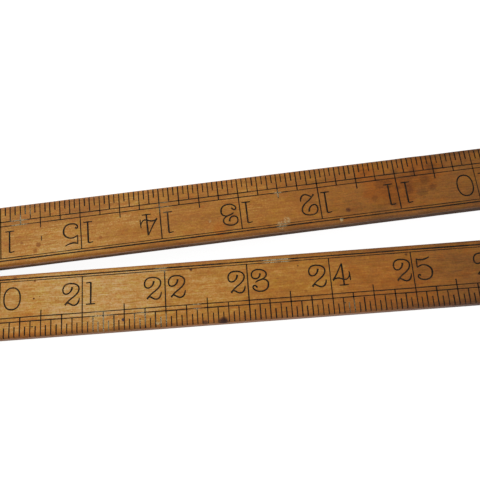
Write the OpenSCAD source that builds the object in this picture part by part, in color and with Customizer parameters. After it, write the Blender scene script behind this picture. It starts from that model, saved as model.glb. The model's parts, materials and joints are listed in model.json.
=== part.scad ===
// Four-fold boxwood rule: four nine-inch legs, a round-headed arch joint in the
// middle and a butt hinge at the nine-inch and twenty-seven-inch marks.
// It lies flat on its outside faces, stretched out, with the arch joint a little open.
// X runs from the arch joint's pin along the third and fourth legs, Z is up.

/* [Legs] */
// Width of one leg
leg_w = 19.7; // [16:0.1:24]
// Thickness of one leg
leg_t = 5; // [4.2:0.1:6]
// Radius of the rubbed-down long edges
edge_r = 0.6; // [0.2:0.1:0.8]
// Gap between the inner edges with the arch joint shut
inner_gap = 0.2; // [0.1:0.05:0.5]

/* [Arch joint] */
// Angle that the arch joint stands open
open_deg = 3; // [1:1:90]
// Radius of the round head
head_r = 11.5; // [10:0.5:13]
// Radius of the brass arches let into the faces
arch_r = 18.8; // [17:0.1:19]
// Thickness of the arches on the third leg
arch_t = 0.5; // [0.3:0.1:0.6]
// How far the hidden leaves reach into the legs, from the pin
leaf_reach = 27; // [22:1:34]
// Radius of the joint pin
joint_pin_r = 2.2; // [1.5:0.1:3]
// Gap between neighbouring leaves
leaf_gap = 0.05; // [0.03:0.01:0.08]

/* [Butt hinges] */
// Radius of the knuckles
knuckle_r = 1.7; // [1.5:0.1:1.8]
// Number of knuckles, an odd number
knuckles = 5; // [3:2:7]
// Length of the hidden plate in each leg
plate_l = 18; // [14:1:20]
// Thickness of the hidden plate
plate_t = 0.8; // [0.6:0.1:0.9]
// Radius of the hinge pin
hinge_pin_r = 0.7; // [0.5:0.1:0.8]

/* [Brass tips] */
// Length of each tip
tip_l = 9; // [6:0.5:14]
// Thickness of the tip's brass
tip_t = 0.6; // [0.4:0.1:0.9]

/* [Pins and rivets] */
// Radius of every rivet
rivet_r = 0.8; // [0.5:0.1:1]
// Radius of the closing pins
closing_r = 0.6; // [0.4:0.1:0.7]
// How far the closing pins stand out
closing_out = 1.6; // [1:0.1:2]

/* [Hidden] */
$fn = 64;

boxwood = "#c98b3f";
brass = "#b8963e";
steel = "#8d9196";

inch = 25.4;
leg_inches = 9;
leg_l = leg_inches * inch;
// The end faces of two legs that meet stop this far short of the full mark
end_gap = 0.05;
inner_y = -inner_gap / 2;
outer_y = inner_y - leg_w;
// Cuts run this far past the faces that they open
over = 1;

// Arch joint, through the thickness: cheek, leaf, middle leaf, leaf, cheek, a fifth each
fifth = leg_t / 5;
leaf_t = fifth - 2 * leaf_gap;
lower_z = fifth + leaf_gap;
middle_z = 2 * fifth;
upper_z = 3 * fifth + leaf_gap;
head_clear = 0.1;
running_clear = 0.05;
joint_rivet_ring = (head_r + arch_r) / 2;
joint_rivet_angles = [-18, -45, -72];

// Butt hinges: the pin lies just above the inside faces, so that they fold flat
pin_lift = 0.1;
hinge_z = leg_t + pin_lift;
knuckle_l = leg_w / knuckles;
knuckle_gap = 0.1;
knuckle_clear = 0.15;
hinge_rivets = [[0.35, 0.2], [0.35, 0.8], [0.75, 0.5]];

tip_rivets = [[0.5, 0.28], [0.5, 0.72]];
closing_in = 5;
closing_clear = 0.2;
closing_inner_x = leg_l - plate_l - 2.5;
closing_outer_x = 2 * leg_l - tip_l - 8;

// The first and second legs are the others turned over the rule's own middle line
module near_side() {
  rotate([0, 0, open_deg]) mirror([0, 1, 0]) children();
}

module rounded_section(w, h, r) {
  translate([0, r]) square([w, h - 2 * r]);
  translate([r, 0]) square([w - 2 * r, h]);
  for (x = [r, w - r], y = [r, h - r]) translate([x, y]) circle(r);
}

// A length of the leg's own section, from x0 to x1
module bar(x0, x1) {
  translate([x0, outer_y, 0]) rotate([90, 0, 90])
    linear_extrude(x1 - x0) rounded_section(leg_w, leg_t, edge_r);
}

module disc(r, z, h) {
  translate([0, 0, z]) cylinder(r = r, h = h);
}

// Rivets through the full thickness, at [x, y] places
module rivets(places) {
  for (p = places) translate([p[0], p[1], 0]) cylinder(r = rivet_r, h = leg_t, $fn = 32);
}

module rivet_holes(places) {
  for (p = places)
    translate([p[0], p[1], -over]) cylinder(r = rivet_r, h = leg_t + 2 * over, $fn = 32);
}

function joint_rivet_places() =
  [for (a = joint_rivet_angles) joint_rivet_ring * [cos(a), sin(a)]];

// side is -1 for the leg before the hinge and 1 for the leg after it
function hinge_rivet_places(side) =
  [for (p = hinge_rivets) [leg_l + side * p[0] * plate_l, inner_y - p[1] * leg_w]];

function tip_rivet_places() =
  [for (p = tip_rivets) [2 * leg_l - end_gap - p[0] * tip_l, inner_y - p[1] * leg_w]];

// ---- Arch joint ----

// The space of the round head, and of the pin's bore, in any leg
module head_space() {
  disc(head_r + head_clear, -over, leg_t + 2 * over);
}

// A leaf: a round head, and a tail that fills the saw cut in its leg
module joint_leaf(z, h, reach, bore_r) {
  difference() {
    union() {
      disc(head_r, z, h);
      intersection() {
        disc(reach, z, h);
        bar(end_gap, leg_l / 2);
      }
    }
    disc(bore_r, z - over, h + 2 * over);
    rivet_holes(joint_rivet_places());
  }
}

module arch_plate(z) {
  difference() {
    intersection() {
      disc(arch_r, z, arch_t);
      bar(end_gap, leg_l / 2);
    }
    head_space();
    rivet_holes(joint_rivet_places());
  }
}

module joint_cheek_top() {
  color(brass) near_side() joint_leaf(leg_t - fifth, fifth, arch_r, joint_pin_r);
}

module joint_cheek_bottom() {
  color(brass) near_side() joint_leaf(0, fifth, arch_r, joint_pin_r);
}

module joint_leaf_middle() {
  color(brass) near_side() joint_leaf(middle_z, fifth, leaf_reach, joint_pin_r);
}

module joint_leaf_upper() {
  color(brass) joint_leaf(upper_z, leaf_t, leaf_reach, joint_pin_r + running_clear);
}

module joint_leaf_lower() {
  color(brass) joint_leaf(lower_z, leaf_t, leaf_reach, joint_pin_r + running_clear);
}

module arch_plate_top() {
  color(brass) arch_plate(leg_t - arch_t);
}

module arch_plate_bottom() {
  color(brass) arch_plate(0);
}

module joint_pin() {
  color(steel) disc(joint_pin_r, 0, leg_t);
}

module joint_rivets_9_18() {
  color(brass) near_side() rivets(joint_rivet_places());
}

module joint_rivets_18_27() {
  color(brass) rivets(joint_rivet_places());
}

// ---- Butt hinges ----

// A stretch of the hinge's axis, from knuckle number k on, grown by grow at each end
module knuckle(k, r, grow) {
  translate([leg_l, inner_y - k * knuckle_l + grow, hinge_z]) rotate([90, 0, 0])
    cylinder(r = r, h = knuckle_l + 2 * grow, $fn = 48);
}

module hinge_bore(r) {
  translate([leg_l, inner_y + over, hinge_z]) rotate([90, 0, 0])
    cylinder(r = r, h = leg_w + 2 * over, $fn = 48);
}

module hinge_plate(side, grow) {
  x0 = side > 0 ? leg_l : leg_l - plate_l;
  translate([x0, outer_y - grow, hinge_z - knuckle_r]) cube([plate_l, leg_w + 2 * grow, plate_t]);
}

// first is the number of this leaf's first knuckle, 0 or 1
module hinge_leaf(side, first, bore_r) {
  difference() {
    union() {
      hinge_plate(side, 0);
      for (k = [first : 2 : knuckles - 1]) knuckle(k, knuckle_r, -knuckle_gap / 2);
    }
    for (k = [1 - first : 2 : knuckles - 1])
      knuckle(k, knuckle_r + knuckle_clear, knuckle_gap / 2);
    hinge_bore(bore_r);
    rivet_holes(hinge_rivet_places(side));
  }
}

module hinge_pin() {
  translate([leg_l, inner_y, hinge_z]) rotate([90, 0, 0])
    cylinder(r = hinge_pin_r, h = leg_w, $fn = 48);
}

// What a leg loses to its half of a hinge
module hinge_space(side) {
  hinge_bore(knuckle_r + knuckle_clear);
  hinge_plate(side, over);
  rivet_holes(hinge_rivet_places(side));
}

module hinge_9_leaf_0_9() {
  color(brass) near_side() hinge_leaf(1, 1, hinge_pin_r + running_clear);
}

module hinge_9_leaf_9_18() {
  color(brass) near_side() hinge_leaf(-1, 0, hinge_pin_r);
}

module hinge_9_pin() {
  color(steel) near_side() hinge_pin();
}

module hinge_9_rivets_0_9() {
  color(brass) near_side() rivets(hinge_rivet_places(1));
}

module hinge_9_rivets_9_18() {
  color(brass) near_side() rivets(hinge_rivet_places(-1));
}

module hinge_27_leaf_18_27() {
  color(brass) hinge_leaf(-1, 0, hinge_pin_r);
}

module hinge_27_leaf_27_36() {
  color(brass) hinge_leaf(1, 1, hinge_pin_r + running_clear);
}

module hinge_27_pin() {
  color(steel) hinge_pin();
}

module hinge_27_rivets_18_27() {
  color(brass) rivets(hinge_rivet_places(-1));
}

module hinge_27_rivets_27_36() {
  color(brass) rivets(hinge_rivet_places(1));
}

// ---- Tips ----

// The folded strip of brass round the end, as a block with the wood's tongue left out
module tip_space(grow) {
  x0 = 2 * leg_l - end_gap - tip_l;
  difference() {
    translate([x0, outer_y - grow, -grow]) cube([tip_l + grow, leg_w + 2 * grow, leg_t + 2 * grow]);
    translate([x0 - over, outer_y - 2 * over, tip_t])
      cube([tip_l + over - tip_t, leg_w + 4 * over, leg_t - 2 * tip_t]);
  }
}

module tip() {
  difference() {
    intersection() {
      bar(leg_l, 2 * leg_l - end_gap);
      tip_space(0);
    }
    rivet_holes(tip_rivet_places());
  }
}

module tip_0() {
  color(brass) near_side() tip();
}

module tip_36() {
  color(brass) tip();
}

module tip_rivets_0() {
  color(brass) near_side() rivets(tip_rivet_places());
}

module tip_rivets_36() {
  color(brass) rivets(tip_rivet_places());
}

// ---- Closing pins ----

// A pin or its hole in an inner edge, from y0 to y1
module edge_pin(x, y0, y1, r) {
  translate([x, y1, leg_t / 2]) rotate([90, 0, 0]) cylinder(r = r, h = y1 - y0, $fn = 32);
}

module closing_pin(x) {
  edge_pin(x, inner_y - closing_in, inner_y + closing_out, closing_r);
}

module closing_hole(x) {
  depth = closing_out + inner_gap + closing_clear;
  edge_pin(x, inner_y - depth, inner_y + over, closing_r + closing_clear);
}

module closing_pin_inner() {
  color(steel) closing_pin(closing_inner_x);
}

module closing_pin_outer() {
  color(steel) closing_pin(closing_outer_x);
}

// ---- Legs ----

// A leg beside the arch joint, before anything that only one of the two has
module inner_leg() {
  difference() {
    bar(end_gap, leg_l - end_gap);
    head_space();
    rivet_holes(joint_rivet_places());
    hinge_space(-1);
    children();
  }
}

// An end leg, with its half of the hinge and its brass tip
module outer_leg() {
  difference() {
    bar(leg_l + end_gap, 2 * leg_l - end_gap);
    hinge_space(1);
    tip_space(over);
    rivet_holes(tip_rivet_places());
    children();
  }
}

module leg_0_9() {
  color(boxwood) near_side() outer_leg() closing_hole(closing_outer_x);
}

module leg_9_18() {
  color(boxwood) near_side() inner_leg() {
    disc(arch_r, -over, fifth + over);
    disc(leaf_reach, middle_z, fifth);
    disc(arch_r, leg_t - fifth, fifth + over);
    closing_hole(closing_inner_x);
  }
}

module leg_18_27() {
  color(boxwood) inner_leg() {
    disc(arch_r, -over, arch_t + over);
    disc(leaf_reach, lower_z, leaf_t);
    disc(leaf_reach, upper_z, leaf_t);
    disc(arch_r, leg_t - arch_t, arch_t + over);
    closing_pin(closing_inner_x);
  }
}

module leg_27_36() {
  color(boxwood) outer_leg() closing_pin(closing_outer_x);
}

leg_0_9();
leg_9_18();
leg_18_27();
leg_27_36();
joint_cheek_top();
joint_cheek_bottom();
joint_leaf_middle();
joint_leaf_upper();
joint_leaf_lower();
arch_plate_top();
arch_plate_bottom();
joint_pin();
joint_rivets_9_18();
joint_rivets_18_27();
hinge_9_leaf_0_9();
hinge_9_leaf_9_18();
hinge_9_pin();
hinge_9_rivets_0_9();
hinge_9_rivets_9_18();
hinge_27_leaf_18_27();
hinge_27_leaf_27_36();
hinge_27_pin();
hinge_27_rivets_18_27();
hinge_27_rivets_27_36();
tip_0();
tip_36();
tip_rivets_0();
tip_rivets_36();
closing_pin_inner();
closing_pin_outer();
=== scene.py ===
"""A three-foot, four-fold boxwood rule: worn wood, stamped and inked scales, old brass.

Everything on the rule is first laid out on the straight rule, fully opened along X with 18 inches
at the arch joint's pin. The first and second legs (0 to 18 inches) are then swung round the pin
to where the frame holds them.
"""

import json
import math
import random

import bmesh
import bpy
from mathutils import Matrix, Vector, noise

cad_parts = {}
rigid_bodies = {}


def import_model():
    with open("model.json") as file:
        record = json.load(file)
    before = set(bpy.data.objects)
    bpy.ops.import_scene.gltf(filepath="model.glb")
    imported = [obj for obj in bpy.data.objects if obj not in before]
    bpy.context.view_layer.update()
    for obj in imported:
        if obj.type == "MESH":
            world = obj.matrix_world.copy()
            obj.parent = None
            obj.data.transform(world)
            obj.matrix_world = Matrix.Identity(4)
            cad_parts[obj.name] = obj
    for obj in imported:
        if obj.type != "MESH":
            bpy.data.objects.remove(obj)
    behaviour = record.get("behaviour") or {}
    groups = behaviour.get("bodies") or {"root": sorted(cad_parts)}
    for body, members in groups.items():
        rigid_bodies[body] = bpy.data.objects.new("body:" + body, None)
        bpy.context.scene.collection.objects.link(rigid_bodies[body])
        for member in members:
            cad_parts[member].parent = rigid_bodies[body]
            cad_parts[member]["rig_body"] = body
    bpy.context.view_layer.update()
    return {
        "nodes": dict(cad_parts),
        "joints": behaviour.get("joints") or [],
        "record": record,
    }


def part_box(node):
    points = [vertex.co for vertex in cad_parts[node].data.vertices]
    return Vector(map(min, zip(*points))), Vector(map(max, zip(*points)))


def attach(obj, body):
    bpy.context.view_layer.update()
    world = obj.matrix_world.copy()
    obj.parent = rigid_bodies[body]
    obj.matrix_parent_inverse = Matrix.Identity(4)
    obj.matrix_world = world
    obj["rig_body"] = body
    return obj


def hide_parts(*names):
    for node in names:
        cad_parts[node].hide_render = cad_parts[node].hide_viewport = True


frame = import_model()

MM = 0.001
INCH = 25.4 * MM

# ---- What the frame says ----

third_low, third_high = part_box("leg_18_27")
THICK = third_high.z
OUTER_Y = third_low.y
WIDTH = third_high.y - third_low.y
END_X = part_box("tip_36")[1].x
HEAD_R = -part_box("joint_leaf_upper")[0].x
# How far a hinge's knuckles reach into the end of a leg
NOTCH = 1.85 * MM
# How far the rule lies open at rest: the main joint's way back to fully shut
MAIN_JOINT = next(joint for joint in frame["joints"] if joint["name"] == "main_joint")
JOINT_OPEN = math.radians(-MAIN_JOINT["range_deg"][0])

# From the straight rule to where the first and second legs lie
SWING = Matrix.Rotation(math.pi + JOINT_OPEN, 4, "Z")

# Each leg: its place on the straight rule in inches, its body, and whether it is swung
LEGS = {
    "leg_0_9": (0, "first_leg", True),
    "leg_9_18": (9, "second_leg", True),
    "leg_18_27": (18, "third_leg", False),
    "leg_27_36": (27, "fourth_leg", False),
}
LEG_INCHES = 9


def along(inch):
    """Where an inch mark stands on the straight rule."""
    return (inch - 18) * INCH


# ---- Shader maths ----


class Value:
    """A socket that a material's node puts out, so that shader maths reads as Python."""

    def __init__(self, finish, socket):
        self.finish = finish
        self.socket = socket

    def math(self, operation, *others):
        return self.finish.node("ShaderNodeMath", {"operation": operation}, [self, *others])

    def __add__(self, other):
        return self.math("ADD", other)

    def __radd__(self, other):
        return self.math("ADD", other)

    def __sub__(self, other):
        return self.math("SUBTRACT", other)

    def __rsub__(self, other):
        return self.finish.node("ShaderNodeMath", {"operation": "SUBTRACT"}, [other, self])

    def __mul__(self, other):
        return self.math("MULTIPLY", other)

    def __rmul__(self, other):
        return self.math("MULTIPLY", other)

    def __truediv__(self, other):
        return self.math("DIVIDE", other)

    def step(self, low, high):
        """0 below low, 1 above high, and smooth between; high below low turns it round."""
        span = {"interpolation_type": "SMOOTHSTEP"}
        sockets = {"Value": self, "From Min": low, "From Max": high}
        return self.finish.node("ShaderNodeMapRange", span, sockets)


class Finish:
    """A material in the making. node() adds any node and hands back its output."""

    def __init__(self, name):
        self.material = bpy.data.materials.new(name)
        self.material.use_nodes = True
        self.tree = self.material.node_tree
        self.shader = self.tree.nodes["Principled BSDF"]

    def plug(self, socket, value):
        if isinstance(value, Value):
            self.tree.links.new(value.socket, socket)
        else:
            socket.default_value = value

    def node(self, kind, settings=None, sockets=None, out=0):
        """Adds a node: its settings first, then the values or links of its sockets."""
        made = self.tree.nodes.new(kind)
        settings = dict(settings or {})
        for place, (stop, colour) in enumerate(settings.pop("stops", [])):
            ramp = made.color_ramp.elements
            element = ramp[place] if place < 2 else ramp.new(stop)
            element.position = stop
            element.color = (*colour, 1)
        for name, value in settings.items():
            setattr(made, name, value)
        sockets = sockets or {}
        for key, value in sockets.items() if isinstance(sockets, dict) else enumerate(sockets):
            self.plug(made.inputs[key], value)
        return Value(self, made.outputs[out])

    def mix(self, factor, a, b, blend="MIX"):
        """Blends two colours."""
        settings = {"data_type": "RGBA", "blend_type": blend}
        sockets = {0: factor}
        for socket, colour in ((6, a), (7, b)):
            sockets[socket] = colour if isinstance(colour, Value) else (*colour, 1)
        return self.node("ShaderNodeMix", settings, sockets, out=2)

    def ramp(self, value, stops):
        return self.node("ShaderNodeValToRGB", {"stops": stops}, [value])

    def place(self, swung=False):
        """Millimetres on the straight rule, from the piece's own Object coordinates."""
        here = self.node("ShaderNodeTexCoord", out="Object")
        turn = (0, 0, -(math.pi + JOINT_OPEN)) if swung else (0, 0, 0)
        size = (1 / MM, 1 / MM, 1 / MM)
        return self.node("ShaderNodeMapping", {}, {"Vector": here, "Rotation": turn, "Scale": size})

    def stretched(self, where, scale, offset=(0, 0, 0)):
        """The same place in other units along each axis."""
        sockets = {"Vector": where, "Scale": scale, "Location": offset}
        return self.node("ShaderNodeMapping", {}, sockets)

    def noise(self, where, scale, detail=2.0, rough=0.5):
        sockets = {"Vector": where, "Scale": scale, "Detail": detail, "Roughness": rough}
        return self.node("ShaderNodeTexNoise", {}, sockets)

    def axes(self, where):
        """The three coordinates of a vector, as values."""
        split = self.node("ShaderNodeSeparateXYZ", {}, [where])
        return [Value(self, s) for s in split.socket.node.outputs]

    def bump(self, height, distance, strength=1.0):
        sockets = {"Height": height, "Distance": distance, "Strength": strength}
        return self.node("ShaderNodeBump", {}, sockets)

    def surface(self, **sockets):
        """Sets or links the shader's own inputs, named in small letters."""
        for name, value in sockets.items():
            title = name.replace("_", " ").title().replace("Ior", "IOR")
            self.plug(self.shader.inputs[title], value)
        return self.material


# ---- Finishes ----

# Boxwood from grimy, through the brown of handled wood, to freshly rubbed; the palest stops also
# carry the painted sheen
WOOD_TONES = [
    (0.20, (0.010, 0.0045, 0.004)),
    (0.38, (0.045, 0.0145, 0.008)),
    (0.53, (0.103, 0.039, 0.013)),
    (0.64, (0.162, 0.063, 0.015)),
    (0.79, (0.268, 0.102, 0.019)),
    (0.88, (0.350, 0.157, 0.030)),
    (0.94, (0.412, 0.226, 0.070)),
    (1.00, (0.472, 0.306, 0.150)),
]
RUDDY = (1.03, 0.80, 0.50)
GOLDEN = (0.98, 1.04, 0.62)
CHALK = (0.40, 0.33, 0.17)
# The dark of the dirt in the sides, and of the painted shade low on them
GRIME_AND_SHADE = (0.014, 0.0075, 0.0045)
SPILT_INK = (0.016, 0.014, 0.034)
FRESH_INK = (0.008, 0.006, 0.004)
THIN_INK = (0.075, 0.036, 0.012)
BARE_MARK = (0.36, 0.30, 0.18)
# Brass from clean to tarnished
BRASS_TONES = [
    (0.30, (0.390, 0.245, 0.085)),
    (0.48, (0.325, 0.196, 0.066)),
    (0.62, (0.240, 0.140, 0.048)),
    (0.80, (0.130, 0.074, 0.030)),
]
BRASS_SCRATCH = (0.52, 0.36, 0.15)
GREY_STEEL = (0.25, 0.235, 0.21)
RUSTY_STEEL = (0.15, 0.115, 0.085)


def blot(finish, where, rag, spot, ragged=0.30, softness=0.45):
    """A mask that is strongest round a place on the straight rule: (along, up from the outer
    edge, radius, strength), in mm, with a ragged rim."""
    s, h, radius, strength = spot
    near = finish.node(
        "ShaderNodeVectorMath",
        {"operation": "DISTANCE"},
        {0: where, 1: (s, OUTER_Y / MM + h, THICK / MM)},
        out="Value",
    )
    return (near / radius + (rag - 0.5) * (2 * ragged)).step(1 + softness, 1 - softness) * strength


def blots(finish, where, rag, spots, ragged=0.30):
    """The masks of several places, added up."""
    together = 0.0
    for spot in spots:
        together = blot(finish, where, rag, spot, ragged) + together
    return together


def boxwood(name, swung, tone_along, wear, seed):
    """Old oiled boxwood, with painted sheen and painted shade in its colour. tone_along gives (inches
    from the arch joint, lightness) stops, which are partly a painted sheen and a painted falling-off
    of the light.
    """
    f = Finish(name)
    where = f.place(swung)
    s, y, z = f.axes(where)
    h = y - OUTER_Y / MM
    own = f.stretched(where, (1, 1, 1), (seed * 37.0, seed * 11.0, seed * 5.0))

    fibres = f.noise(f.stretched(own, (0.035, 1.3, 1.3)), 1.0, 5.0, 0.65)
    fine = f.noise(f.stretched(own, (0.22, 4.5, 4.5)), 1.0, 3.0, 0.6)
    clouds = f.noise(f.stretched(own, (0.05, 0.12, 0.12)), 1.0, 3.0, 0.55)
    mottle = f.noise(f.stretched(own, (0.30, 0.50, 0.50)), 1.0, 4.0, 0.65)
    speckle = f.noise(own, 1.9, 3.0, 0.7)
    pores = f.noise(f.stretched(own, (0.8, 5.0, 5.0)), 1.0, 1.0, 0.5).step(0.67, 0.76)
    streaks = f.noise(f.stretched(own, (0.16, 3.2, 3.2)), 1.0, 2.0, 0.5)

    # Lightness along the leg, partly painted: a painted sheen where it is lightest, painted shade
    # towards the hinges
    far = s.math("ABSOLUTE") / (2 * LEG_INCHES * INCH / MM)
    base = f.ramp(far, [(inch / (2 * LEG_INCHES), (v, v, v)) for inch, v in tone_along])
    flecks = f.noise(f.stretched(own, (0.7, 1.1, 1.1), (3, 8, 1)), 1.0, 3.0, 0.7)
    tone = base + (clouds - 0.5) * 0.17 + (mottle - 0.5) * 0.18 + (speckle - 0.5) * 0.26
    tone = tone + (fibres - 0.5) * 0.19 + (fine - 0.5) * 0.25 - pores * 0.08
    tone = tone - flecks.step(0.64, 0.74) * 0.09 + flecks.step(0.36, 0.26) * 0.05

    # The handled long edges are darker, the outer one most, and more so where the wood is at its
    # palest or its darkest
    band, edge = wear["handled"]
    handled = h.step(7.0, 2.0) * band + (h.step(2.6, 0.8) * 0.040 + h.step(1.0, 0.2) * 0.055) * edge
    grubby = base.step(0.86, 0.93) * 0.15 + base.step(0.74, 0.62) * 0.20
    tone = tone - handled * (0.35 + mottle * 1.3) - h.step(1.8, 0.5) * grubby * 0.6
    inner = WIDTH / MM - h
    tone = tone - (inner.step(2.2, 1.2) * 0.03 + inner.step(1.0, 0.2) * 0.09) * (0.25 + streaks * 1.5)
    tone = tone - blots(f, where, speckle, wear["stains"])

    # Dry, rubbed patches show pale scratches that follow the grain
    rubbed = blots(f, where, mottle, wear["rubbed"], 0.5).math("MINIMUM", 1.0)
    scratches = streaks.step(0.56, 0.66) + speckle.step(0.60, 0.70)
    tone = tone + rubbed * (0.015 + scratches * 0.07)
    colour = f.ramp(tone, WOOD_TONES)

    ruddy = f.noise(f.stretched(own, (0.14, 0.28, 0.28), (9, 4, 2)), 1.0, 4.0, 0.7).step(0.46, 0.66)
    tint = f.noise(f.stretched(own, (0.5, 1.6, 1.6), (5, 2, 9)), 1.0, 3.0, 0.7)
    red = ruddy * 0.30 + tint.step(0.50, 0.66) * 0.50 + blots(f, where, mottle, wear["ruddy"], 0.6)
    colour = f.mix(red.math("MINIMUM", 1.0), colour, RUDDY, "MULTIPLY")
    golden = f.noise(f.stretched(own, (0.10, 0.22, 0.22), (2, 7, 5)), 1.0, 4.0, 0.7).step(0.44, 0.68)
    gold = golden * 0.45 + tint.step(0.50, 0.36) * 0.65
    colour = f.mix(gold.math("MINIMUM", 1.0), colour, GOLDEN, "MULTIPLY")
    chalk = blots(f, where, speckle, wear["scuffs"], 0.6).math("MINIMUM", 1.0)
    colour = f.mix(chalk * speckle.step(0.44, 0.62), colour, CHALK)

    # Dirt in the sides, and painted shade that darkens their lower part and the bottom of the leg by
    # the floor: heavy on the inner one, thinner on the outer one
    # Painted shade on the lowest part of the leg, next to the floor
    shaded_low_face = z.step(0.55, 0.15)
    reach = (0.86 - base) * 5.0 + (streaks - 0.5) * 1.6
    # Painted shade on the lower part of each side, reaching higher where the wood is darker
    shaded_low_side = (z - reach).step(3.9, 2.5)
    dirt_and_shade = h.step(0.40, 0.06) * (0.10 + shaded_low_side * 0.16 + grubby)
    dirt_and_shade = dirt_and_shade + inner.step(0.40, 0.06) * (0.05 + shaded_low_side * 0.80)
    dirt_and_shade = (dirt_and_shade + shaded_low_face * 0.10) * (0.85 + (mottle - 0.5) * 0.9)
    colour = f.mix(dirt_and_shade.math("MINIMUM", 0.97), colour, GRIME_AND_SHADE)
    for spot in wear["ink"]:
        colour = f.mix(blot(f, where, speckle, spot, 0.15, 0.3), colour, SPILT_INK)

    relief = fibres * 0.4 + fine * 0.5 + speckle * 0.3 - pores * 0.8
    return f.surface(
        base_color=colour,
        roughness=0.48 + (mottle - 0.5) * 0.22 + (fine - 0.5) * 0.12 + rubbed * 0.08 + dirt_and_shade * 0.45,
        specular_ior_level=0.14,
        normal=f.bump(relief, 0.00006, 0.6),
    )


def worn_ink(name, swung, wear):
    """Black filling of the stamped marks, rubbed thin here and there, pale where it has gone."""
    f = Finish(name)
    where = f.place(swung)
    thin = f.noise(where, 0.35, 3.0, 0.6)
    grain = f.noise(where, 3.0, 2.0, 0.6)
    rubbed = (thin * 0.7 + grain * 0.4).step(0.52, 0.80)
    colour = f.mix(rubbed, FRESH_INK, THIN_INK)
    gone = blots(f, where, grain, wear["scuffs"] + wear["lost_ink"], 0.5).math("MINIMUM", 1.0)
    colour = f.mix(gone * grain.step(0.40, 0.56), colour, BARE_MARK)
    return f.surface(
        base_color=colour,
        roughness=0.60 + grain * 0.2,
        specular_ior_level=0.10,
        normal=f.bump(grain, 0.00002, 0.4),
    )


def old_brass(name, swung):
    """Brass dulled evenly to a brown gold, darker in a few places, with fine scratches."""
    f = Finish(name)
    where = f.place(swung)
    tarnish = f.noise(where, 0.11, 3.0, 0.5)
    film = f.noise(where, 0.9, 4.0, 0.6)
    specks = f.noise(where, 3.2, 3.0, 0.6).step(0.62, 0.74)
    scratches = f.noise(f.stretched(where, (0.22, 11.0, 11.0)), 1.0, 2.0, 0.5)
    across = f.noise(f.stretched(where, (8.0, 0.4, 0.4)), 1.0, 2.0, 0.5)
    turned = {"Vector": where, "Rotation": (0, 0, 0.6), "Scale": (0.3, 9.0, 9.0)}
    slanted = f.noise(f.node("ShaderNodeMapping", {}, turned), 1.0, 1.0)
    lines = scratches.step(0.60, 0.70) + across.step(0.66, 0.75) + slanted.step(0.70, 0.78)
    age = tarnish + (film - 0.5) * 0.35 + specks * 0.10
    colour = f.ramp(age, BRASS_TONES)
    colour = f.mix(lines.math("MINIMUM", 1.0) * 0.18, colour, BRASS_SCRATCH)
    rough = 0.38 + age * 0.20 + lines * 0.03
    relief = f.bump(scratches * 0.6 + across * 0.4 + film * 0.6, 0.00003, 0.5)
    return f.surface(base_color=colour, metallic=1.0, roughness=rough, normal=relief)


def dull_steel(name, swung):
    """Filed steel gone grey-brown."""
    f = Finish(name)
    where = f.place(swung)
    rust = f.noise(where, 0.8, 4.0, 0.55)
    filed = f.noise(f.stretched(where, (2.0, 14.0, 14.0)), 1.0, 2.0, 0.5)
    colour = f.mix(rust.step(0.34, 0.72), GREY_STEEL, RUSTY_STEEL)
    rough = 0.42 + rust * 0.20 + (filed - 0.5) * 0.15
    relief = f.bump(filed, 0.00003, 0.5)
    return f.surface(base_color=colour, metallic=1.0, roughness=rough, normal=relief)


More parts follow.
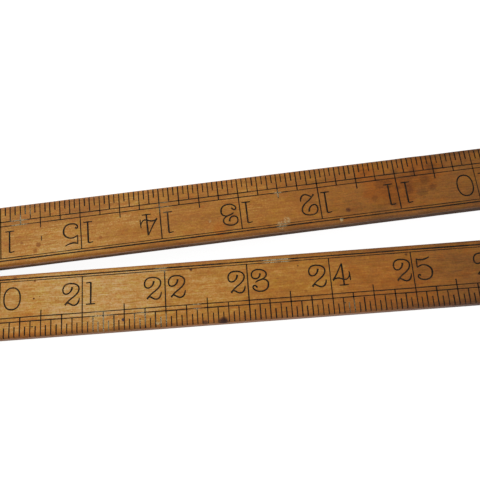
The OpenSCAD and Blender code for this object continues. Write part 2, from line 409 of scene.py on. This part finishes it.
# "handled" is how much darker the outer scale is, and how many times the usual the outer edge.
# The rest are places: (along the straight rule, up from the outer edge, radius, strength), in mm.
# Stains darken, ruddy places redden, rubbed ones are scratched pale, and scuffs are chalky.
WEAR = {
    "leg_0_9": {
        "handled": (0.04, 1.0),
        "stains": [
            (-300, 8.2, 5, 0.05), (-392, 14.2, 4, 0.06), (-262, 3.2, 2, 0.1),
            (-418, 6.2, 1.2, 0.14),
        ],
        "ruddy": [(-245, 12.2, 9, 0.5), (-330, 10.2, 7, 0.35)],
        "rubbed": [(-350, 9.2, 12, 1.0), (-290, 3.2, 6, 0.8)],
        "scuffs": [(-351, 18, 1.6, 0.7), (-404, 5.4, 1.0, 0.6)],
        "ink": [(-372, 13.2, 0.4, 0.8)],
        "lost_ink": [(-348, 4.7, 4.0, 0.7)],
    },
    "leg_9_18": {
        "handled": (-0.02, 0.5),
        "stains": [
            (-60, 2.5, 10, 0.07), (-79, 2.5, 9, 0.065), (-62.7, 14.1, 0.75, 0.17),
            (-61.6, 16, 0.6, 0.15), (-57.5, 12.9, 0.4, 0.12), (-82.3, 14.2, 0.5, 0.1),
            (-123, 16.3, 1.6, 0.07), (-161, 15.4, 0.75, 0.18), (-163, 14.8, 3, 0.04),
            (-178, 10.2, 0.9, 0.08), (-181.5, 11.2, 1.3, 0.09), (-185.5, 12.6, 1.6, 0.08),
            (-189.0, 11.4, 1.2, 0.07), (-176, 15.5, 0.8, 0.07), (-171, 18.1, 3.0, 0.06),
            (-172.5, 7.9, 1.6, 0.1), (-175.3, 8.4, 1.3, 0.09), (-181, 8.2, 2.0, 0.08),
            (-187, 8.6, 1.4, 0.09), (-184, 5.6, 1.5, 0.09), (-190, 4.8, 1.7, 0.1),
            (-178, 4.4, 1.2, 0.08), (-170, 12.6, 0.9, 0.07),
        ],
        "ruddy": [
            (-120, 16.2, 2.0, 0.7), (-172, 9.7, 4.5, 0.8), (-178, 11.2, 5.0, 0.8),
            (-187, 5.2, 6, 0.7), (-168, 3.7, 3, 0.8),
        ],
        "rubbed": [
            (-66, 13.2, 9, 0.6), (-92, 9.2, 10, 0.45), (-132, 11.2, 5, 0.5), (-128, 3.2, 7, 0.4),
        ],
        "scuffs": [
            (-139.4, 17.6, 1.5, 0.6), (-141.3, 16.3, 1.1, 0.8), (-158.4, 18.4, 0.6, 0.9),
            (-117, 13.4, 0.5, 0.5),
        ],
        "ink": [],
        "lost_ink": [
            (-56.7, 6, 2.6, 0.9), (-139.7, 7, 1.1, 1.0), (-60, 2.4, 1.4, 0.6),
            (-103, 6.6, 2.0, 0.5),
        ],
    },
    "leg_18_27": {
        "handled": (0.036, 1.25),
        "stains": [
            (61.3, 11.7, 0.26, 0.55), (63.0, 12.2, 0.2, 0.25), (109.8, 17.1, 0.42, 0.4),
            (118.9, 0.3, 1.3, 0.42), (113.3, 0.3, 0.8, 0.25), (55.3, 18.5, 0.5, 0.2),
            (61.5, 17.2, 0.35, 0.25), (106, 13.2, 3.0, 0.04), (176.5, 16.8, 0.4, 0.25),
            (178, 12.2, 4, 0.04), (142.8, 15.8, 0.25, 0.3),
        ],
        "ruddy": [(172, 1.4, 14, 0.35), (135, 1, 9, 0.15), (60, 3.7, 5, 0.4)],
        "rubbed": [
            (72, 11.2, 7, 1.0), (80, 12.2, 8, 1.0), (91, 9.7, 8, 0.35), (84, 4.2, 6, 0.9),
            (97, 3.2, 5, 0.6), (58, 14.2, 6, 0.5),
        ],
        "scuffs": [
            (134.6, 18.25, 0.5, 0.7), (136.4, 18.2, 0.4, 0.7), (80.6, 4.8, 0.8, 0.7),
            (99.0, 1.4, 0.6, 0.9),
        ],
        "ink": [(88.6, 3.2, 0.5, 0.9)],
        "lost_ink": [
            (134.6, 18.3, 2.4, 1.0), (138.8, 18.3, 1.6, 1.0), (82, 2.8, 3.6, 0.8),
            (94, 3.6, 2.4, 0.7), (100.5, 2.4, 1.8, 0.9), (111, 5.7, 1.2, 0.8),
            (100.5, 18.2, 1.8, 0.7), (158, 2.2, 2.0, 0.4),
        ],
    },
    "leg_27_36": {
        "handled": (0.04, 1.0),
        "stains": [
            (287, 12.2, 4, 0.06), (405, 6.2, 2, 0.1), (341, 16.2, 0.5, 0.35), (260, 1.2, 2, 0.2),
        ],
        "ruddy": [(245, 8.2, 9, 0.5), (372, 12.2, 6, 0.4)],
        "rubbed": [(330, 10.2, 14, 1.0), (392, 5.2, 7, 0.8)],
        "scuffs": [(318, 18.2, 1.3, 0.8), (411, 2.7, 1.0, 0.6)],
        "ink": [],
        "lost_ink": [(332, 3.2, 4.0, 0.7), (416, 18.2, 3.0, 0.8)],
    },
}
# How light the wood is, by the distance from the arch joint in inches: partly the wood's own tone,
# partly a painted sheen on the lightest stretch and painted shade darkening towards the hinges
TONES = {
    "leg_0_9": [(9, 0.63), (11, 0.76), (14, 0.88), (16.8, 0.84), (18, 0.70)],
    "leg_9_18": [(0, 0.86), (2.4, 0.90), (3.2, 0.88), (4.0, 0.83), (5.4, 0.79), (7, 0.70), (9, 0.64)],
    "leg_18_27": [(0, 0.86), (2.2, 0.92), (3.2, 0.94), (4, 0.89), (6, 0.82), (7.4, 0.69), (9, 0.62)],
    "leg_27_36": [(9, 0.62), (11, 0.75), (14.5, 0.89), (16.8, 0.84), (18, 0.69)],
}
SEEDS = {"leg_0_9": 1.3, "leg_9_18": 2.7, "leg_18_27": 4.1, "leg_27_36": 5.9}

WOOD = {
    leg: boxwood(leg.replace("leg", "boxwood"), LEGS[leg][2], TONES[leg], WEAR[leg], SEEDS[leg])
    for leg in LEGS
}
INK = {leg: worn_ink(leg.replace("leg", "ink"), LEGS[leg][2], WEAR[leg]) for leg in LEGS}
BRASS = {True: old_brass("brass_0_18", True), False: old_brass("brass_18_36", False)}
STEEL = {True: dull_steel("steel_0_18", True), False: dull_steel("steel_18_36", False)}


# ---- Making pieces ----


def new_piece(name, mesh_maker, material, body, swung=False):
    """A named piece from a bmesh, swung with the first two legs if it belongs to them."""
    shape = bmesh.new()
    mesh_maker(shape)
    if swung:
        bmesh.ops.transform(shape, matrix=SWING, verts=shape.verts)
    mesh = bpy.data.meshes.new(name)
    shape.to_mesh(mesh)
    shape.free()
    mesh.materials.append(material)
    piece = bpy.data.objects.new(name, mesh)
    bpy.context.scene.collection.objects.link(piece)
    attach(piece, body)
    return piece


def smooth_by_angle(piece, degrees=32):
    """Shades a piece smooth, but keeps its sharp corners."""
    for face in piece.data.polygons:
        face.use_smooth = True
    piece.data.set_sharp_from_angle(angle=math.radians(degrees))


def is_swung(body):
    return body in ("first_leg", "second_leg")


# ---- Legs ----

EDGE_R = 0.6 * MM
# The legs are cut across in halves, until a stretch is shorter than this many slices
SLICE = 1.0 * MM
WHOLE = 1.9
CUT_MERGE = 1e-7
# Rubbing: its depth in mm, its waves along the leg, and how much of it the edges get
RUB_DEPTH = 0.22
RUB_WAVES = 90
TOP_RUB, BOTTOM_RUB = 2.0, 0.8
# It stays clear of a leg's ends, and fades in from there
UNWORN_END = 0.030
FADE_IN = 0.010
KNOCK_HALF = 1.6 * MM
# Small knocks in the top long edges: (inches along the rule, 0 outer or 1 inner edge, depth in mm)
KNOCKS = {
    "leg_0_9": [(2.3, 0, 0.40), (5.1, 1, 0.35), (7.4, 0, 0.30)],
    "leg_9_18": [(10.7, 1, 0.40), (12.6, 0, 0.28), (14.8, 0, 0.25), (11.5, 0, 0.30)],
    "leg_18_27": [(22.68, 0, 0.42), (24.9, 0, 0.30), (20.3, 0, 0.25), (23.3, 1, 0.30)],
    "leg_27_36": [(29.2, 0, 0.35), (31.8, 1, 0.40), (34.1, 0, 0.30)],
}


def worn(point, leg):
    """Where a point of the nominal surface lies once the long edges are rubbed and knocked."""
    x, y, z = point
    inner = y > OUTER_Y + WIDTH / 2
    top = z > THICK / 2
    from_side = max(min(y - OUTER_Y, OUTER_Y + WIDTH - y), 0) / EDGE_R
    from_face = max(min(z, THICK - z), 0) / EDGE_R
    if from_side >= 1 or from_face >= 1:
        return Vector(point)
    first_inch = LEGS[leg][0]
    low = along(first_inch) + UNWORN_END
    high = along(first_inch + LEG_INCHES) - UNWORN_END
    ends = min(max((x - low) / FADE_IN, 0), 1) * min(max((high - x) / FADE_IN, 0), 1)
    wave = noise.noise(Vector((x * RUB_WAVES, inner * 7.0, top * 3.0 + first_inch)))
    depth = RUB_DEPTH * (0.5 + wave) * ends
    for inch, side, most in KNOCKS[leg]:
        gap = abs(x - along(inch)) / KNOCK_HALF
        if side == inner and top and gap < 1:
            depth += most * (1 - gap * gap) ** 2
    depth *= (TOP_RUB if top else BOTTOM_RUB) * MM * (1 - from_side) * (1 - from_face)
    inward = Vector((0, -1 if inner else 1, -1 if top else 1)).normalized()
    return Vector(point) + inward * depth


def slice_up(shape, faces, low, high):
    """Cuts the faces across at even steps between low and high, halving the stretch each time."""
    if high - low < WHOLE * SLICE:
        return
    middle = (low + high) / 2
    edges = {edge for face in faces for edge in face.edges}
    verts = {vert for face in faces for vert in face.verts}
    cut = bmesh.ops.bisect_plane(
        shape, geom=[*verts, *edges, *faces], dist=CUT_MERGE,
        plane_co=(middle, 0, 0), plane_no=(1, 0, 0),
    )
    kept = [part for part in cut["geom"] if isinstance(part, bmesh.types.BMFace)]
    slice_up(shape, [face for face in kept if face.calc_center_median().x < middle], low, middle)
    slice_up(shape, [face for face in kept if face.calc_center_median().x >= middle], middle, high)


def worn_leg(name):
    """The wooden leg: the frame's own shape, its long edges rubbed and knocked."""
    first_inch, body, swung = LEGS[name]

    def shape_leg(shape):
        shape.from_mesh(frame["nodes"][name].data)
        bmesh.ops.remove_doubles(shape, verts=shape.verts, dist=CUT_MERGE)
        if swung:
            bmesh.ops.transform(shape, matrix=SWING.inverted(), verts=shape.verts)
        slice_up(shape, shape.faces[:], along(first_inch), along(first_inch + LEG_INCHES))
        for vert in shape.verts:
            vert.co = worn(vert.co, name)

    piece = new_piece(name + "_wood", shape_leg, WOOD[name], body, swung)
    smooth_by_angle(piece)
    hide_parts(name)


for leg_name in LEGS:
    worn_leg(leg_name)


# ---- Scales ----

INK_HIGH = 0.024 * MM
# Heights above the outer edge, in mm: the two scale lines, the double line by the inner edge and
# the foot of the digits; then how much taller than drawn the digits are. Swung legs come first.
HEIGHTS = {
    True: {"s1": 5.22, "s2": 6.70, "l2": 17.23, "l1": 18.01, "digits": 8.42, "tall": 1.025},
    False: {"s1": 4.92, "s2": 6.22, "l2": 17.47, "l1": 18.22, "digits": 8.50, "tall": 1.0},
}
# How high a sixteenth stands, how far a half passes the second line, how far an eighth stays
# short of the first one, and where a mark starts
SIXTEENTH_H = 3.3
HALF_PAST = 1.9
EIGHTH_SHORT = 0.15
START_H = 0.10
# Uneven hand work, in mm from and to: a mark's height, its breadth, its place, and its lean
MARK_HEIGHT = (-0.14, 0.12)
MARK_BREADTH = (0.31, 0.43)
MARK_PLACE = (-0.06, 0.06)
MARK_LEAN = (-0.006, 0.006)
# Marks this near a joint are left out
MARK_CLEAR = 0.25 * MM
# The long lines and their breadths in mm, each scribed in so many parts that waver a little, up
# and down in mm and in breadth: a part reaches so much of the breadth to either side
LONG_LINES = (("s1", 0.33), ("s2", 0.31), ("l2", 0.27), ("l1", 0.43))
LINE_PARTS = 36
LINE_WAVER = 0.05
LINE_WAVES = 60
LINE_HALF = (0.40, 0.56)
# Where the long lines stop short of the joint's head and of a hinge's notch
HEAD_CLEAR = 0.3 * MM
NOTCH_CLEAR = 0.1 * MM
# The heights, in mm, at which the marks are cut to bend round the outer edge
EDGE_CUTS = (0.2, 0.35, 0.6)


def strip(shape, x0, x1, h0, h1, lean=0.0):
    """A thin bar of ink on the straight rule, x0 to x1 along and h0 to h1 above the outer edge."""
    size = Matrix.Diagonal((x1 - x0, h1 - h0, INK_HIGH, 1))
    at = Matrix.Translation(((x0 + x1) / 2, OUTER_Y + (h0 + h1) / 2, 0))
    shear = Matrix.Shear("XY", 4, (lean, 0)) if lean else Matrix.Identity(4)
    bmesh.ops.create_cube(shape, size=1.0, matrix=at @ shear @ size)


def mark_top(step, steps, heights):
    """How high a mark stands, by the part of an inch that it marks, in mm."""
    part = step / steps
    if part == 0:
        return heights["l2"]
    if part == 0.5:
        return heights["s2"] + HALF_PAST
    if (part * 4).is_integer():
        return heights["s2"]
    if (part * 8).is_integer():
        return heights["s1"] - EIGHTH_SHORT
    return SIXTEENTH_H


def clear_runs(x0, x1):
    """The stretch of a leg that the long lines run along, clear of its joints."""
    low, high = sorted((abs(x0), abs(x1)))
    low = max(low, HEAD_R + HEAD_CLEAR) if low < HEAD_R else low + NOTCH + NOTCH_CLEAR
    high = high - NOTCH - NOTCH_CLEAR if high < END_X - NOTCH else END_X
    return (low, high) if x0 + x1 > 0 else (-high, -low)


def draw_scale(shape, first_inch, steps, swung, seed):
    """Every graduation of one leg's face, with its long lines."""
    chance = random.Random(seed)
    heights = HEIGHTS[swung]
    low, high = clear_runs(along(first_inch), along(first_inch + LEG_INCHES))
    for step in range(LEG_INCHES * steps + 1):
        x = along(first_inch) + step * INCH / steps
        top = mark_top(step % steps, steps, heights) + chance.uniform(*MARK_HEIGHT)
        if x - MARK_CLEAR < low or x + MARK_CLEAR > high:
            continue
        head = math.sqrt(max(HEAD_R ** 2 - x ** 2, 0)) if abs(x) < HEAD_R else 0
        top = min(top * MM, WIDTH - head)
        broad = chance.uniform(*MARK_BREADTH) * MM
        x += chance.uniform(*MARK_PLACE) * MM
        lean = chance.uniform(*MARK_LEAN)
        strip(shape, x - broad / 2, x + broad / 2, START_H * MM, top, lean)
    for line, broad in LONG_LINES:
        for part in range(LINE_PARTS):
            x0 = low + (high - low) * part / LINE_PARTS
            x1 = low + (high - low) * (part + 1) / LINE_PARTS
            wave = noise.noise(Vector((x0 * LINE_WAVES, heights[line], seed)))
            h = heights[line] + LINE_WAVER * wave
            half = broad * chance.uniform(*LINE_HALF)
            strip(shape, x0, x1, (h - half) * MM, (h + half) * MM)


def press_round_edge(shape):
    """Presses the ends of the marks down round the outer edge."""
    for h in EDGE_CUTS:
        everything = shape.verts[:] + shape.edges[:] + shape.faces[:]
        bmesh.ops.bisect_plane(
            shape, geom=everything, dist=CUT_MERGE,
            plane_co=(0, OUTER_Y + h * MM, 0), plane_no=(0, 1, 0),
        )
    for vert in shape.verts:
        away = EDGE_R - (vert.co.y - OUTER_Y)
        if away > 0:
            vert.co.z -= EDGE_R - math.sqrt(max(EDGE_R ** 2 - away ** 2, 0))


# Each digit's width and its pen strokes, in mm from the left foot of the digit. A point may end
# with its own half-width, and otherwise takes STROKE.
STROKE = 0.24
DIGITS = {
    "0": (5.3, [
        [(2.62, 0.15), (1.3, 0.55), (0.38, 1.9), (0.16, 3.55), (0.38, 5.2), (1.3, 6.55),
         (2.62, 6.95), (3.95, 6.55), (4.9, 5.2), (5.12, 3.55), (4.9, 1.9), (3.95, 0.55),
         (2.62, 0.15)],
    ]),
    "1": (3.05, [
        [(0.15, 6.72, 0.17), (0.8, 6.84, 0.19), (1.65, 6.88, 0.24)],
        [(1.65, 6.9, 0.27), (1.64, 5, 0.28), (1.6, 2, 0.27), (1.58, 0.2, 0.26)],
        [(0.1, 0.17, 0.17), (1.55, 0.18, 0.24), (2.95, 0.17, 0.17)],
    ]),
    "2": (5.3, [
        [(3.0, 5.85, 0.32), (2.85, 5.1, 0.29), (2.3, 4.25), (1.4, 3.75), (0.55, 3.95),
         (0.17, 4.7), (0.25, 5.7), (0.85, 6.55), (1.75, 6.92), (2.85, 6.95), (4.05, 6.65),
         (4.9, 5.95), (5.08, 5.0, 0.26), (4.7, 4.0, 0.26), (3.75, 3.0), (2.5, 2.1), (1.45, 1.15),
         (0.8, 0.35, 0.33)],
        [(1.0, 0.7, 0.25), (1.6, 1.0, 0.25), (2.4, 0.6, 0.26), (3.3, 0.17, 0.24),
         (4.2, 0.28, 0.25), (4.85, 0.95, 0.28), (5.12, 1.7, 0.22), (5.2, 2.3, 0.15)],
    ]),
    "3": (5.35, [
        [(2.9, 5.75, 0.3), (2.65, 4.85, 0.26), (1.95, 4.25), (1.2, 4.2), (0.45, 4.6), (0.2, 5.4),
         (0.5, 6.3), (1.4, 6.9), (2.65, 6.98), (3.85, 6.65), (4.6, 6.0), (4.75, 5.15, 0.26),
         (4.2, 4.35), (3.25, 3.85), (2.1, 3.5), (1.25, 3.05, 0.2)],
        [(3.25, 3.85, 0.17), (4.3, 3.72), (5.05, 3.1, 0.25), (5.2, 2.2, 0.28), (4.9, 1.15, 0.26),
         (4.0, 0.4), (2.7, 0.17), (1.5, 0.4), (0.65, 1.05), (0.42, 1.7), (0.85, 2.1),
         (1.45, 1.85), (1.75, 1.35, 0.29)],
    ]),
    "4": (5.9, [
        [(3.5, 6.95, 0.3), (3.56, 5, 0.28), (3.62, 2.5, 0.27), (3.65, 0.2, 0.26)],
        [(3.45, 6.9, 0.17), (2.4, 4.95, 0.2), (1.35, 3.15), (0.35, 1.8, 0.3)],
        [(0.35, 1.8, 0.28), (1.2, 2.35), (2.4, 2.4, 0.25), (3.7, 1.95, 0.25), (4.7, 1.95, 0.22),
         (5.35, 2.7, 0.18), (5.6, 3.4, 0.15)],
        [(5.6, 4.35, 0.17), (5.68, 3.2, 0.21), (5.75, 1.5, 0.18)],
        [(2.2, 0.17, 0.17), (3.6, 0.17, 0.23), (5.1, 0.17, 0.17)],
    ]),
    "5": (4.95, [
        [(0.3, 6.75, 0.2), (1.1, 6.45, 0.24), (2.4, 6.4, 0.25), (3.5, 6.7, 0.23),
         (4.4, 7.1, 0.16)],
        [(0.4, 6.75, 0.19), (0.36, 5.5, 0.21), (0.33, 4.05, 0.19)],
        [(0.33, 4.0, 0.17), (1.1, 4.5), (2.3, 4.75, 0.23), (3.6, 4.35, 0.25), (4.55, 3.4, 0.29),
         (4.7, 2.3, 0.3), (4.25, 1.0, 0.27), (3.2, 0.27), (1.9, 0.17), (0.75, 0.5), (0.25, 1.2),
         (0.5, 1.75), (1.1, 1.5, 0.3)],
    ]),
    "6": (5.1, [
        [(4.3, 5.75, 0.3), (4.2, 6.45, 0.24), (3.4, 6.95), (2.3, 6.75), (1.1, 5.6),
         (0.38, 4.1, 0.26), (0.24, 2.6, 0.29), (0.6, 1.1, 0.27), (1.6, 0.28), (2.8, 0.17),
         (4.1, 0.6), (4.85, 1.8, 0.26), (4.6, 3.1, 0.26), (3.6, 3.95), (2.3, 4.05), (1.1, 3.3),
         (0.4, 2.2, 0.18)],
    ]),
    "7": (4.8, [
        [(0.25, 5.6, 0.17), (0.25, 6.5, 0.21), (0.3, 7.0, 0.17)],
        [(0.3, 6.4, 0.18), (1.1, 6.85, 0.24), (2.2, 6.55, 0.27), (3.4, 6.3, 0.26),
         (4.2, 6.6, 0.21), (4.65, 7.0, 0.17)],
        [(4.6, 6.95, 0.17), (3.8, 5.4, 0.2), (2.7, 3.6, 0.24), (2.1, 1.9, 0.29),
         (2.05, 0.3, 0.31)],
    ]),
    "8": (5.1, [
        [(2.55, 3.75, 0.24), (1.35, 4.4), (0.75, 5.4), (1.2, 6.5), (2.55, 6.98), (3.9, 6.5),
         (4.35, 5.4), (3.75, 4.4), (2.55, 3.75, 0.24), (1.0, 3.0), (0.22, 1.85, 0.27), (0.9, 0.6),
         (2.55, 0.17), (4.2, 0.6), (4.9, 1.85, 0.27), (4.1, 3.0), (2.55, 3.75, 0.24)],
    ]),
    "9": (5.1, [
        [(0.8, 1.3, 0.3), (0.9, 0.65, 0.24), (1.7, 0.17), (2.8, 0.36), (4.0, 1.5),
         (4.72, 3.0, 0.26), (4.86, 4.5, 0.29), (4.5, 6.0, 0.27), (3.5, 6.85), (2.3, 6.98),
         (1.0, 6.5), (0.25, 5.3, 0.26), (0.5, 4.0, 0.26), (1.5, 3.15), (2.8, 3.05), (4.0, 3.8),
         (4.7, 4.9, 0.18)],
    ]),
}
# How far the two digits stand from their inch line, in mm, where the stamps were set unevenly
GAPS = {
    10: (1.0, 1.15), 11: (1.25, 1.3), 12: (0.6, 0.7), 13: (0.6, 0.85), 14: (0.9, 0.75),
    15: (0.8, 0.75), 16: (1.4, 0.9), 20: (0.8, 1.15), 21: (0.85, 0.95), 22: (1.1, 0.98),
    23: (0.75, 1.1), 24: (1.25, 0.33), 25: (0.5, 1.2), 26: (1.1, 0.9),
}
USUAL_GAPS = (0.85, 0.9)
# Either side of a hinge the digits stand clear of the notch
HINGE_GAPS = (2.6, 2.6)
NUMBER_LIFT = (-0.08, 0.08)


def pen_stroke(shape, points, x, base, tall=1.0):
    """One stroke: a round-ended line through the points, pressed flat."""
    curve = bpy.data.curves.new("stroke", "CURVE")
    curve.dimensions = "3D"
    curve.bevel_depth = MM
    curve.bevel_resolution = 1
    curve.resolution_u = 3
    curve.use_fill_caps = True
    line = curve.splines.new("BEZIER")
    line.bezier_points.add(len(points) - 1)
    for knot, point in zip(line.bezier_points, points):
        knot.co = (x + point[0] * MM, OUTER_Y + (base + point[1] * tall) * MM, 0)
        knot.radius = point[2] if len(point) > 2 else STROKE
        knot.handle_left_type = knot.handle_right_type = "AUTO"
    holder = bpy.data.objects.new("stroke", curve)
    mesh = holder.to_mesh()
    start = len(shape.verts)
    shape.from_mesh(mesh)
    holder.to_mesh_clear()
    bpy.data.objects.remove(holder)
    bpy.data.curves.remove(curve)
    shape.verts.ensure_lookup_table()
    flat = Matrix.Diagonal((1, 1, INK_HIGH / (2 * STROKE * MM), 1))
    bmesh.ops.transform(shape, matrix=flat, verts=shape.verts[start:])


def draw_digit(shape, digit, x, base, tall):
    """All the strokes of one digit, with its left foot at x."""
    for points in DIGITS[digit][1]:
        pen_stroke(shape, points, x, base, tall)


def draw_numbers(shape, first_inch, swung, seed, mirrored):
    """The numbers of one leg's face, each astride its inch line, or before it if single."""
    chance = random.Random(seed)
    base = HEIGHTS[swung]["digits"]
    tall = HEIGHTS[swung]["tall"]
    for inch in range(first_inch, first_inch + LEG_INCHES + 1):
        if inch in (0, 18, 36):
            continue
        before, after = GAPS.get(inch, USUAL_GAPS)
        if inch % LEG_INCHES == 0:
            before, after = HINGE_GAPS
        x = -along(inch) if mirrored else along(inch)
        lift = base + chance.uniform(*NUMBER_LIFT)
        text = str(inch)
        starts_here = inch > first_inch
        ends_here = inch < first_inch + LEG_INCHES
        if mirrored:
            starts_here, ends_here = ends_here, starts_here
        if starts_here:
            width = DIGITS[text[0]][0]
            draw_digit(shape, text[0], x - (before + width) * MM, lift, tall)
        if ends_here and len(text) > 1:
            draw_digit(shape, text[1], x + after * MM, lift, tall)


# The inside faces read from left to right; the outside faces, turned over end for end,
# read from right to left. Each face: its marks to the inch, how it is laid, and whether mirrored.
INSIDE = Matrix.Translation((0, 0, THICK))
OUTSIDE = Matrix.Rotation(math.pi, 4, "Y")
FACES = {"inside": (16, INSIDE, False), "outside": (8, OUTSIDE, True)}


# Stray marks, in mm: (along the straight rule, from and to above the outer edge, breadth, lean)
STRAYS = {
    "leg_9_18": [(-63.7, 11.3, 12.9, 0.26, 0.0)],
    "leg_18_27": [(60.95, 2.95, 3.25, 0.75, 0.5), (156.0, 3.1, 3.4, 0.5, 0.3)],
}


def ink_pieces(leg, first_inch, body, swung, face):
    """The graduations and the numbers of one face of one leg."""
    steps, lay, mirrored = FACES[face]
    seed = first_inch * 2 + mirrored
    reading_inch = 36 - LEG_INCHES - first_inch if mirrored else first_inch

    def graduations(shape):
        draw_scale(shape, reading_inch, steps, swung, seed)
        if not mirrored:
            for x, h0, h1, broad, lean in STRAYS.get(leg, []):
                strip(shape, (x - broad / 2) * MM, (x + broad / 2) * MM, h0 * MM, h1 * MM, lean)
        press_round_edge(shape)
        bmesh.ops.transform(shape, matrix=lay, verts=shape.verts)
        for vert in shape.verts:
            vert.co = worn(vert.co, leg)

    def numbers(shape):
        draw_numbers(shape, first_inch, swung, seed, mirrored)
        bmesh.ops.transform(shape, matrix=lay, verts=shape.verts)

    for what, maker in (("graduations", graduations), ("numbers", numbers)):
        new_piece(f"{leg}_{face}_{what}", maker, INK[leg], body, swung)


for leg_name, (inch_from, leg_body, leg_swung) in LEGS.items():
    for face_name in FACES:
        ink_pieces(leg_name, inch_from, leg_body, leg_swung, face_name)


# ---- Brass and steel ----

EASED = 0.07 * MM


def eased(name):
    """A metal part: the frame's own shape with its sharp edges eased by a file."""
    node = frame["nodes"][name]
    body = node["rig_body"]
    slot = next(s["material_slot"] for s in frame["record"]["subparts"] if s["node"] == name)
    metal = STEEL if slot == "steel" else BRASS

    def copy_node(shape):
        shape.from_mesh(node.data)
        bmesh.ops.remove_doubles(shape, verts=shape.verts, dist=CUT_MERGE)

    piece = new_piece(name + "_eased", copy_node, metal[is_swung(body)], body)
    bevel = piece.modifiers.new("eased edges", "BEVEL")
    bevel.width = EASED
    bevel.segments = 2
    bevel.limit_method = "ANGLE"
    bevel.angle_limit = math.radians(40)
    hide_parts(name)


for node_name in frame["nodes"]:
    if node_name not in LEGS:
        eased(node_name)


# ---- Floor, light and camera ----

FLOOR_HALF = 3.0
FLOOR_GLOW = 0.9
SKY_STRENGTH = 0.40
# Each light: where it stands, its size, and its watts
LIGHTS = {
    "key": ((-0.30, 0.60, 0.50), (1.1, 0.9), 9.2),
    "fill": ((0.45, -0.65, 0.50), (0.9, 0.9), 5.0),
}
CAMERA_AT = (0.12509, -0.04154, 0.17400)
CAMERA_TURN = (15.557, 0.978, -4.169)
CAMERA_LENS = 42


def plain_floor():
    """A pale table that glows a little, like a light box, so that it stays white."""
    shape = bmesh.new()
    bmesh.ops.create_grid(shape, x_segments=1, y_segments=1, size=FLOOR_HALF)
    bmesh.ops.translate(shape, vec=(0, 0, -INK_HIGH), verts=shape.verts)
    mesh = bpy.data.meshes.new("floor")
    shape.to_mesh(mesh)
    shape.free()
    f = Finish("pale_floor")
    f.surface(
        base_color=(0.2, 0.2, 0.2, 1),
        roughness=0.9,
        emission_color=(1, 1, 1, 1),
        emission_strength=FLOOR_GLOW,
    )
    mesh.materials.append(f.material)
    floor = bpy.data.objects.new("floor", mesh)
    bpy.context.scene.collection.objects.link(floor)


def soft_light(name, at, aim, size, watts):
    """A large rectangular lamp that faces a point."""
    light = bpy.data.lights.new(name, "AREA")
    light.shape = "RECTANGLE"
    light.size, light.size_y = size
    light.energy = watts
    lamp = bpy.data.objects.new(name, light)
    lamp.location = at
    lamp.rotation_euler = (Vector(aim) - Vector(at)).to_track_quat("-Z", "Y").to_euler()
    bpy.context.scene.collection.objects.link(lamp)


def studio():
    """An even white surround, and two soft lights on the middle of what is seen."""
    world = bpy.data.worlds.new("studio")
    bpy.context.scene.world = world
    bpy.context.scene.view_settings.view_transform = "Standard"
    world.use_nodes = True
    world.node_tree.nodes["Background"].inputs["Color"].default_value = (1, 1, 1, 1)
    world.node_tree.nodes["Background"].inputs["Strength"].default_value = SKY_STRENGTH
    middle = (0.12, 0.0, THICK)
    for name, (at, size, watts) in LIGHTS.items():
        soft_light(name, at, middle, size, watts)


def view_camera():
    """Stands over the second and third legs, 17 cm above them."""
    data = bpy.data.cameras.new("camera")
    data.sensor_width = 36
    data.lens = CAMERA_LENS
    data.clip_start = 0.005
    camera = bpy.data.objects.new("camera", data)
    camera.location = CAMERA_AT
    camera.rotation_euler = [math.radians(turn) for turn in CAMERA_TURN]
    bpy.context.scene.collection.objects.link(camera)
    bpy.context.scene.camera = camera


plain_floor()
studio()
view_camera()
